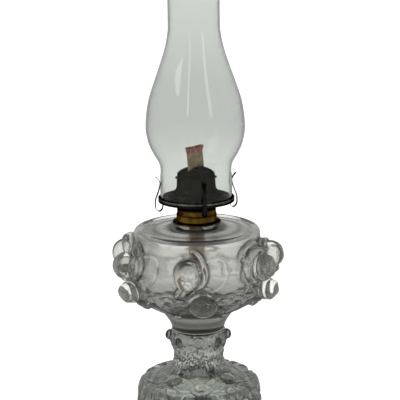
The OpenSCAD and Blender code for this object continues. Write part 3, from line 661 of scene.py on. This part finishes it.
def make_pedestal():
    g = Lathe(even(ped_outer(), 0.95), FINE_TURNS)
    ground, relief_as_shade = ped_relief(g)
    g.raise_by(ground)
    s_crown = g.s_at(CROWN_Z)
    for i in range(4):
        quarter = FRONT + i * QUARTER
        if i % 2:
            g.stamp(quarter, g.s_at(PED_SHOULDER_Z - 4), (15, 14, 5.5), 0.15, soft=0.45)
        else:
            s_rose = g.s_at(PED_SHOULDER_Z + 6)
            g.stamp(quarter + math.radians(3), s_rose, (14, 13, 8), 0.25)
            g.stamp(quarter + math.radians(3), s_rose, (11.5, 11, 8), 0.0, ped_rose_face)
        g.stamp(quarter + math.radians(49), g.s_at(PED_SHOULDER_Z + 11),
                (10, 9, 2.0 if i in (1, 2) else 5.5), 0.15)
        g.stamp(quarter + math.radians(47), g.s_at(PED_SHOULDER_Z - 12), (10, 9.5, 8), 0.25,
                ped_rose_face)
        g.stamp(quarter, s_crown, (6, 6, 5.4 if i % 2 else 2.0), 0.05, None, soft=0.25)
        g.stamp(quarter + QUARTER / 2, s_crown - 4, (5.6, 7.4, -5.0), 0.0, None, soft=0.45)
    rim = Lathe(np.array([(FOOT_R - PED_WALL + 0.4, 0), (FOOT_R - 0.4, 0)]), PLAIN_TURNS)
    cup = Lathe(np.array([
        (JOINT_R - 0.1, PED_TOP + 0.1), (JOINT_R - 0.4, PED_TOP + 0.15),
        (PEG_R + 0.9, PED_TOP + 0.15), (PEG_R + 0.6, PED_TOP - 0.3),
        (PEG_R + 0.6, PED_TOP - PEG_DEPTH - 0.6), (1, PED_TOP - PEG_DEPTH - 0.6)]), PLAIN_TURNS)
    inner = Lathe(even(ped_inner(), 2.5), PLAIN_TURNS)
    obj = revolved("pedestal_glass", [
        inner.points, rim.points, g.points, cup.points], "stand", sharp=60)
    # Painted shade in the relief's grooves and light on its ridges
    store_shade(obj, (inner.points[..., 0].size + rim.points[..., 0].size, g.shade(relief_as_shade)))
    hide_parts("pedestal")
    return obj


# Chimney
FITTER_R = 38.3
GRIP_Z = 19.0
THROAT_Z = 33.0
BULGE_R = 52.5
BULGE_Z = 82.0
FLUE_R = 27.2
FLUE_Z = 190.0
CHIMNEY_WALL = 2.0
CHIMNEY_TURNS = 192


def chimney_outer():
    z, h = CHIMNEY_LOW[2], CHIMNEY_HIGH[2]

    def low(t):
        return z + mix(THROAT_Z, BULGE_Z, t)

    def high(t):
        return z + mix(BULGE_Z, FLUE_Z, t)

    return smooth([
        (FITTER_R, z), (FITTER_R, z + GRIP_Z + 3), (FITTER_R - 0.6, low(0)),
        (FITTER_R + 0.8, low(0.16)), (mix(FITTER_R, BULGE_R, 0.43), low(0.35)),
        (mix(FITTER_R, BULGE_R, 0.76), low(0.55)), (BULGE_R - 0.5, low(0.8)), (BULGE_R, low(1)),
        (BULGE_R - 1.5, high(0.14)), (BULGE_R - 4.5, high(0.27)),
        (mix(FLUE_R, BULGE_R, 0.6), high(0.425)), (mix(FLUE_R, BULGE_R, 0.35), high(0.59)),
        (mix(FLUE_R, BULGE_R, 0.14), high(0.75)), (FLUE_R + 0.6, high(0.89)),
        (FLUE_R, high(1)), (FLUE_R, h - 1.2),
    ], 8)


def make_chimney():
    outer = even(chimney_outer(), 2.0)
    way = np.gradient(outer, axis=0)
    way /= np.linalg.norm(way, axis=1, keepdims=True)
    inner = outer - CHIMNEY_WALL * np.stack([way[:, 1], -way[:, 0]], 1)
    z, h = CHIMNEY_LOW[2], CHIMNEY_HIGH[2]
    half = CHIMNEY_WALL / 2
    arc = np.radians(np.arange(15, 180, 15))
    rolled = np.stack([FLUE_R - half + half * np.cos(arc), h - 1.2 + 1.2 * np.sin(arc)], 1)
    foot = np.stack([FITTER_R - half - half * np.cos(arc), z + 0.8 - 0.8 * np.sin(arc)], 1)
    outer[0, 1] = inner[0, 1] = z + 0.8
    g = Lathe(np.concatenate([outer, rolled, inner[::-1], foot]), CHIMNEY_TURNS)
    wobble = 0.10 * np.abs(waves(g.points, 10, 60, 21))
    g.points[..., :2] *= (1 - wobble / g.r[:, None])[..., None]
    obj = revolved("chimney_glass", [g.points], "chimney", loop=True, sharp=60)
    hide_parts("chimney")
    return obj


# Wick
WICK_W = 24.4
WICK_T = 3.0
WICK_TURN = math.radians(50)
WICK_CUT = 20.0
WICK_SIDES = 96


def make_wick():
    """A flat braided ribbon whose cut end is charred, frayed and splayed."""
    low, high = WICK_LOW[2], WICK_HIGH[2]
    z = np.concatenate([np.arange(low, high - 8, 0.7), np.linspace(high - 8, high - 0.6, 18)])
    a = 2 * math.pi * np.arange(WICK_SIDES) / WICK_SIDES
    flat = (WICK_W - WICK_T) / 2
    corner = WICK_T / 2
    u = flat * np.sign(np.cos(a)) * np.abs(np.cos(a)) ** 0.35 + corner * np.cos(a) * 0
    u = np.clip(flat * 1.25 * np.sin(np.pi / 2 * np.cos(a)), -flat, flat)
    v = corner * np.sign(np.sin(a)) * np.abs(np.sin(a)) ** 0.5
    u = u + corner * np.cos(a) * (np.abs(u) >= flat - 1e-6)
    around = lengths(np.stack([u, v], 1))
    z2, s2 = np.meshgrid(z, around, indexing="ij")
    top = ease((z2 - (high - 7)) / 6)
    braid = np.sin(s2 * 2.9 + z2 * 2.2) * np.sin(s2 * 2.9 - z2 * 2.2)
    lump = waves(np.stack([z2, s2, s2 * 0], -1), 30, 5, 31)
    out = 0.10 * braid - 0.10 + top * (0.55 * lump + 0.5)
    grow_u = 1 + out / (WICK_W / 2) + 0.05 * top
    grow_v = 1 + out / corner
    uu, vv = u[None] * grow_u, v[None] * grow_v
    ragged = top * 0.5 * waves(np.stack([uu, vv, z2 * 0], -1), 30, 3, 37)
    c, s = math.cos(WICK_TURN), math.sin(WICK_TURN)
    lean = 2.2 * ease((z2 - (high - 24)) / 24)
    x = uu * c - vv * s - lean * c
    y = uu * s + vv * c - lean * s
    rings = np.stack([x, y, z2 + ragged], -1)
    last = rings[-1]
    middle = last.mean(0)
    cap = [mix(last, middle, t) + np.array([0, 0, 0.5 * math.sin(t * 9)]) for t in (0.15, 0.4, 0.7)]
    base = mix(rings[0], rings[0].mean(0), 0.6)
    parts = [np.array([base]), rings, np.array(cap)]
    flat_points = np.concatenate([p.reshape(-1, 3) for p in parts])
    count = sum(len(p) for p in parts)
    n = WICK_SIDES
    faces = []
    for i in range(count - 1):
        faces += band_faces(i * n, n, (i + 1) * n, n)
    first, end = len(flat_points), len(flat_points) + 1
    flat_points = np.concatenate([flat_points, [base.mean(0)], [cap[-1].mean(0)]])
    faces += [(first, (j + 1) % n, j) for j in range(n)]
    faces += [(end, (count - 1) * n + j, (count - 1) * n + (j + 1) % n) for j in range(n)]
    obj = mesh_object("wick_ribbon", flat_points, faces, "wick")
    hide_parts("wick")
    return obj


def make_fray():
    """Loose threads at the wick's cut end."""
    source = np.random.default_rng(5)
    points, faces = [], []
    c, s = math.cos(WICK_TURN), math.sin(WICK_TURN)
    for _ in range(150):
        u, v = source.uniform(-12.4, 12.4), source.uniform(-1.9, 1.9)
        way = np.array([0.16 * u + source.normal(0, 0.9), 0.9 * v + source.normal(0, 0.8),
                        source.uniform(0.4, 2.0)])
        way /= np.linalg.norm(way)
        long = source.uniform(1.2, 2.6)
        start = np.array([u, v, WICK_HIGH[2] - source.uniform(0.8, 3.0)])
        side = np.cross(way, source.normal(size=3))
        side /= np.linalg.norm(side)
        bend = source.normal(0, 0.35) * side
        rings = []
        for t in (0, 0.35, 0.7, 1.0):
            middle = start + way * long * t + bend * long * t * t
            thick = 0.15 * (1 - 0.6 * t)
            other = np.cross(way, side)
            for k in range(4):
                b = QUARTER * k
                p = middle + thick * (math.cos(b) * side + math.sin(b) * other)
                rings.append((p[0] * c - p[1] * s - 2.2 * c, p[0] * s + p[1] * c - 2.2 * s,
                              min(p[2], WICK_HIGH[2] + 0.4)))
        base = len(points)
        points += rings
        for i in range(3):
            faces += band_faces(base + 4 * i, 4, base + 4 * i + 4, 4)
        faces += [(base + 3, base + 2, base + 1, base), (base + 12, base + 13, base + 14, base + 15)]
    obj = mesh_object("wick_threads", points, faces, "wick")
    return obj


# Materials
class Shader:
    """A material with a Principled shader and short calls for the nodes that feed it."""

    def __init__(self, name, **constants):
        self.material = bpy.data.materials.new(name)
        self.material.use_nodes = True
        self.tree = self.material.node_tree
        self.main = self.tree.nodes["Principled BSDF"]
        for key, value in constants.items():
            socket = self.main.inputs[key.replace("_", " ")]
            socket.default_value = (*value, 1) if isinstance(value, tuple) else value

    def add(self, kind, inputs=None, **settings):
        node = self.tree.nodes.new("ShaderNode" + kind)
        for key, value in settings.items():
            setattr(node, key, value)
        for key, value in (inputs or {}).items():
            self.feed(node.inputs[key], value)
        return node

    def feed(self, socket, value):
        if hasattr(value, "is_output"):
            self.tree.links.new(value, socket)
        elif isinstance(value, tuple) and len(value) == 3:
            socket.default_value = (*value, 1)
        else:
            socket.default_value = value

    def set(self, name, value):
        self.feed(self.main.inputs[name], value)

    def place(self, scale=(1, 1, 1)):
        coords = self.add("TexCoord").outputs["Object"]
        return self.add("Mapping", {"Vector": coords, "Scale": Vector(scale)}).outputs["Vector"]

    def noise(self, scale, detail=4.0, at=None, rough=0.5):
        return self.add("TexNoise", {
            "Vector": at or self.place(), "Scale": scale, "Detail": detail, "Roughness": rough,
        }).outputs["Fac"]

    def ramp(self, value, *stops):
        node = self.add("ValToRGB", {"Fac": value})
        marks = node.color_ramp.elements
        while len(marks) < len(stops):
            marks.new(0.5)
        for mark, (at, colour) in zip(marks, stops):
            mark.position = at
            mark.color = (*colour, 1) if isinstance(colour, tuple) else (colour,) * 3 + (1,)
        return node.outputs["Color"]

    def by_height(self, *stops):
        """A colour or grey that changes up the lamp: stops of (millimetres, colour)."""
        up = self.add("SeparateXYZ", {"Vector": self.add("TexCoord").outputs["Object"]}).outputs["Z"]
        low, high = stops[0][0], stops[-1][0]
        share = self.add("MapRange", {
            "Value": up, "From Min": low * MM, "From Max": high * MM}).outputs["Result"]
        return self.ramp(share, *[((z - low) / (high - low), colour) for z, colour in stops])

    def times(self, colour, other):
        blend = self.add("Mix", data_type="RGBA", blend_type="MULTIPLY")
        self.feed(blend.inputs[0], 1.0)
        self.feed(blend.inputs[6], colour)
        self.feed(blend.inputs[7], other)
        return blend.outputs[2]

    def bump(self, height, strength, distance=0.001):
        node = self.add("Bump", {"Height": height, "Strength": strength, "Distance": distance})
        self.set("Normal", node.outputs["Normal"])


def glass(name, index, face, edge, clear, density, roughness, grain, depth, painted_shade_by_height, painted_relief_shade=None,
          polish=None):
    """Pressed or blown glass: darker where it is thick, with ripples, and a painted tint where it is
    seen edge on: painted shade on the font and pedestal, painted light on the chimney.

    painted_shade_by_height is a list of (height in millimetres, grey) that paints shade and light up
    the glass's height; painted_relief_shade and polish are lists of (shade, grey) that tint and
    smooth it by the painted shade that relief stores.
    """
    m = Shader(name, IOR=index, Transmission_Weight=clear)
    # Painted tint at the edges: from face to edge as the glass is seen more edge on
    facing = m.add("LayerWeight", {"Blend": 0.5}).outputs["Facing"]
    colour = m.ramp(facing, (0.15, face), (0.95, edge))
    # Painted shade and light up the glass's height
    colour = m.times(colour, m.by_height(*painted_shade_by_height))
    # Painted shade in the relief's grooves and light on its ridges, from the stored grey
    if painted_relief_shade:
        stored = m.add("Attribute", attribute_name="shade").outputs["Fac"]
        colour = m.times(colour, m.ramp(stored, *painted_relief_shade))
    m.set("Base Color", colour)
    rough = m.ramp(m.noise(38.0, 5.0), (0.35, roughness[0]), (0.75, roughness[1]))
    m.set("Roughness", m.times(rough, m.ramp(stored, *polish)) if polish else rough)
    m.bump(m.noise(grain, 3.0), depth, 0.0004)
    volume = m.add("VolumeAbsorption", {"Color": (0.56, 0.585, 0.55), "Density": density})
    m.tree.links.new(volume.outputs["Volume"], m.tree.nodes["Material Output"].inputs["Volume"])
    return m.material


def metal(name, dark, light, roughness, scale=90.0, bump=0.15, levels=None):
    """Tarnished metal: colour and gloss vary with two sizes of cloud.

    levels is a list of (height in millimetres, colour) that tints it up its height.
    """
    m = Shader(name, Metallic=1.0, Specular_Tint=(0.35, 0.35, 0.35))
    cloud = m.noise(scale, 6.0, rough=0.62)
    colour = m.ramp(cloud, (0.35, dark), (0.68, light))
    m.set("Base Color", m.times(colour, m.by_height(*levels)) if levels else colour)
    m.set("Roughness", m.ramp(m.noise(scale * 2.3, 4.0), (0.3, roughness - 0.1), (0.75, roughness + 0.15)))
    m.bump(m.noise(scale * 8, 3.0), bump, 0.0003)
    return m.material


def plaster():
    m = Shader("aged_plaster", Roughness=0.9)
    m.set("Base Color", m.ramp(m.noise(220.0), (0.3, (0.26, 0.25, 0.21)), (0.7, (0.42, 0.40, 0.34))))
    m.bump(m.noise(900.0), 0.5, 0.0005)
    return m.material


def cotton():
    """Oil-soaked cotton: tan below, rusty and charred at the cut end."""
    m = Shader("wick_cotton", Roughness=0.92)
    m.set("Sheen Weight", 0.25)
    height = m.add("SeparateXYZ", {"Vector": m.add("TexCoord").outputs["Object"]}).outputs["Z"]
    cloud = m.noise(260.0, 5.0)
    edge = m.add("Math", {0: cloud, 1: 0.006}, operation="MULTIPLY").outputs[0]
    level = m.add("Math", {0: height, 1: edge}, operation="ADD").outputs[0]
    share = m.add("MapRange", {
        "Value": level, "From Min": WICK_HIGH[2] * MM - 0.012, "From Max": WICK_HIGH[2] * MM + 0.004,
    }).outputs["Result"]
    body = m.ramp(m.noise(150.0, 6.0), (0.3, (0.31, 0.22, 0.12)), (0.7, (0.56, 0.44, 0.28)))
    char = m.ramp(cloud, (0.3, (0.14, 0.05, 0.035)), (0.55, (0.50, 0.22, 0.16)), (0.75, (0.78, 0.52, 0.40)))
    blend = m.add("Mix", data_type="RGBA")
    m.feed(blend.inputs[0], m.ramp(share, (0.35, 0.0), (0.62, 1.0)))
    m.feed(blend.inputs[6], body)
    m.feed(blend.inputs[7], char)
    m.set("Base Color", blend.outputs[2])
    m.bump(m.noise(1500.0), 0.4, 0.0004)
    return m.material


def dress(names, material):
    for name in names:
        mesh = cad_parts[name].data
        mesh.materials.clear()
        mesh.materials.append(material)


# Stage: a white floor, a pale room that is dimmer overhead and in front, and soft lights
def make_stage():
    mesh = bpy.data.meshes.new("floor")
    side = 30
    mesh.from_pydata([(-side, -side, 0), (side, -side, 0), (side, side, 0), (-side, side, 0)],
                     [], [(0, 1, 2, 3)])
    floor = bpy.data.objects.new("floor", mesh)
    bpy.context.scene.collection.objects.link(floor)
    m = Shader("floor", Roughness=0.9)
    m.set("Emission Color", (1.0, 1.0, 1.0))
    mirrored = m.add("LightPath").outputs["Glossy Depth"]
    for socket, straight, reflected in (("Base Color", 0.6, 0.2), ("Emission Strength", 0.90, 0.36)):
        m.set(socket, m.add("MapRange", {
            "Value": mirrored, "To Min": straight, "To Max": reflected}).outputs["Result"])
    mesh.materials.append(m.material)


def make_world():
    world = bpy.data.worlds.new("studio")
    bpy.context.scene.world = world
    world.use_nodes = True
    tree = world.node_tree
    back = tree.nodes["Background"]

    def node(kind, **inputs):
        made = tree.nodes.new("ShaderNode" + kind)
        for key, value in inputs.items():
            socket = made.inputs[key.replace("_", " ")]
            if hasattr(value, "is_output"):
                tree.links.new(value, socket)
            else:
                socket.default_value = value
        return made

    way = node("TexCoord").outputs["Generated"]
    split = node("SeparateXYZ", Vector=way)
    level = node("MapRange", Value=split.outputs["Z"], From_Min=-1.0, From_Max=1.0)
    ramp = node("ValToRGB", Fac=level.outputs["Result"])
    marks = ramp.color_ramp.elements
    stops = ((0.5, 1.0), (0.66, 1.0), (0.74, 0.55), (0.9, 0.45), (1.0, 0.6))
    while len(marks) < len(stops):
        marks.new(0.5)
    for mark, (at, value) in zip(marks, stops):
        mark.position = at
        mark.color = (value, value, value, 1)
    front = node("MapRange", Value=split.outputs["Y"], From_Min=-1.0, From_Max=0.2,
                 To_Min=0.7, To_Max=1.0)
    rays = node("LightPath")
    mirrored = node("MapRange", Value=rays.outputs["Glossy Depth"], To_Min=1.0, To_Max=0.58)
    strength = ramp.outputs["Color"]
    for operation, other in (
        ("MULTIPLY", front.outputs["Result"]), ("MULTIPLY", mirrored.outputs["Result"]),
        ("MAXIMUM", rays.outputs["Is Camera Ray"]),
    ):
        step = tree.nodes.new("ShaderNodeMath")
        step.operation = operation
        tree.links.new(strength, step.inputs[0])
        tree.links.new(other, step.inputs[1])
        strength = step.outputs[0]
    tree.links.new(strength, back.inputs["Strength"])
    back.inputs["Color"].default_value = (1, 1, 1, 1)


def soft_light(name, place, size, glow):
    """A rectangle of light aimed at the lamp; glow is how bright it looks."""
    data = bpy.data.lights.new(name, "AREA")
    data.shape = "RECTANGLE"
    data.size, data.size_y = size
    data.energy = glow * math.pi * size[0] * size[1]
    light = bpy.data.objects.new(name, data)
    bpy.context.scene.collection.objects.link(light)
    light.location = place
    aim = Vector((0, 0, 0.3)) - Vector(place)
    light.rotation_euler = aim.to_track_quat("-Z", "Y").to_euler()


make_stage()
make_world()
soft_light("window_right", (1.35, -1.75, 1.25), (0.34, 1.3), 3.0)
soft_light("window_left", (-0.68, -2.1, 1.2), (0.2, 1.1), 3.0)
soft_light("key", (-1.4, -0.9, 1.6), (0.8, 0.8), 3.5)
bpy.context.scene.view_settings.view_transform = "Standard"

font_obj = make_font()
pedestal_obj = make_pedestal()
chimney_obj = make_chimney()
wick_obj = make_wick()
fray_obj = make_fray()

# Painted shade by height: dark at the font's foot where it meets the cement and in the neck under the collar
font_obj.data.materials.append(
    glass("clear_pressed_glass", 1.36, (0.95, 0.95, 0.915), (0.50, 0.50, 0.465), 0.95, 9.0,
          (0.17, 0.27), 60.0, 0.2,
          [(117, 0.30), (FONT_Z + 11, 0.22), (FONT_Z + 16, 0.5), (FONT_Z + 38, 0.88),
           (FONT_Z + 50, 0.93), (FONT_Z + 92, 0.91), (SHOULDER_Z - 4, 1.0),
           (SHOULDER_Z + 4, 1.0), (SHOULDER_Z + 6.5, 0.55), (250, 0.5)],
          [(0.02, 0.13), (0.40, 0.72), (0.6, 0.84), (0.76, 1.0)],
          [(0.52, 1.0), (0.66, 0.4)]))
# Painted shade by height: a little lighter low down, dark at the top where it meets the cement
pedestal_obj.data.materials.append(
    glass("grey_pressed_glass", 1.42, (0.56, 0.58, 0.54), (0.16, 0.17, 0.155), 0.95, 9.0,
          (0.04, 0.12), 110.0, 0.35, [(0, 1.05), (60, 1.08), (86, 1.08), (96, 0.97), (104, 0.48), (110, 0.36), (116, 0.33), (123, 0.32)],
          [(0.05, 0.15), (0.42, 0.85), (0.6, 1.0)]))
# Painted shade by height: a little darker round the bulge and lighter towards the top
chimney_obj.data.materials.append(
    glass("blown_glass", 1.32, (0.76, 0.775, 0.755), (0.80, 0.82, 0.80), 1.0, 5.0, (0.0, 0.02), 12.0,
          0.1, [(264, 0.93), (300, 0.96), (345, 0.85), (390, 0.87), (440, 0.93), (480, 0.97),
                (518, 1.0)]))

# Colour by height: a near-black band near the collar's foot, from 240.9 to 242.1 mm, and a little darker below
# it
brass = metal("aged_brass", (0.06, 0.031, 0.004), (0.34, 0.20, 0.035), 0.38, levels=[
    (239.0, 0.8), (240.5, 0.8), (240.9, 0.05), (242.1, 0.05), (242.8, 1.0), (250.0, 1.0)])
# Painted shadow under the gallery: the basket's brass is near-black above 254.8 mm
basket = metal("brass_in_painted_shadow", (0.06, 0.031, 0.004), (0.34, 0.20, 0.035), 0.42, levels=[
    (248.0, 1.0), (253.4, 0.9), (254.8, (0.03, 0.04, 0.05)), (262.0, (0.02, 0.03, 0.04))])
bronze = metal("tarnished_bronze", (0.005, 0.0045, 0.002), (0.05, 0.045, 0.024), 0.36)
# Painted shadow on the gallery's underside below 265.4 mm; the rim band keeps its colour up to 270.3 mm and the
# dish above is darker again
dish = metal("bronze_with_painted_shadow_below", (0.05, 0.046, 0.032), (0.36, 0.35, 0.28), 0.34, levels=[
    (255.0, 0.05), (265.4, 0.06), (266.4, 1.0), (270.3, 1.0), (270.8, 0.15), (280.0, 0.3)])
steel = metal("dull_steel", (0.006, 0.006, 0.006), (0.03, 0.03, 0.03), 0.38)
inner_brass = metal("inner_brass", (0.10, 0.065, 0.025), (0.30, 0.2, 0.08), 0.4)
dress(["collar_shell", "collar_thread_ring"], brass)
dress(["burner_basket"], basket)
dress(["burner_base", "deflector", "thumb_wheel", "spur_shaft"], bronze)
dress(["gallery"], dish)
dress(["draught_screen", "wick_tube", "vent_tube", "spur_cage", "shaft_bush", "spur_wheels"], inner_brass)
dress(["prong_front", "prong_right", "prong_back", "prong_left", "prong_rivets"], steel)
dress(["font_cement", "collar_plaster"], plaster())
wool = cotton()
wick_obj.data.materials.append(wool)
fray_obj.data.materials.append(wool)
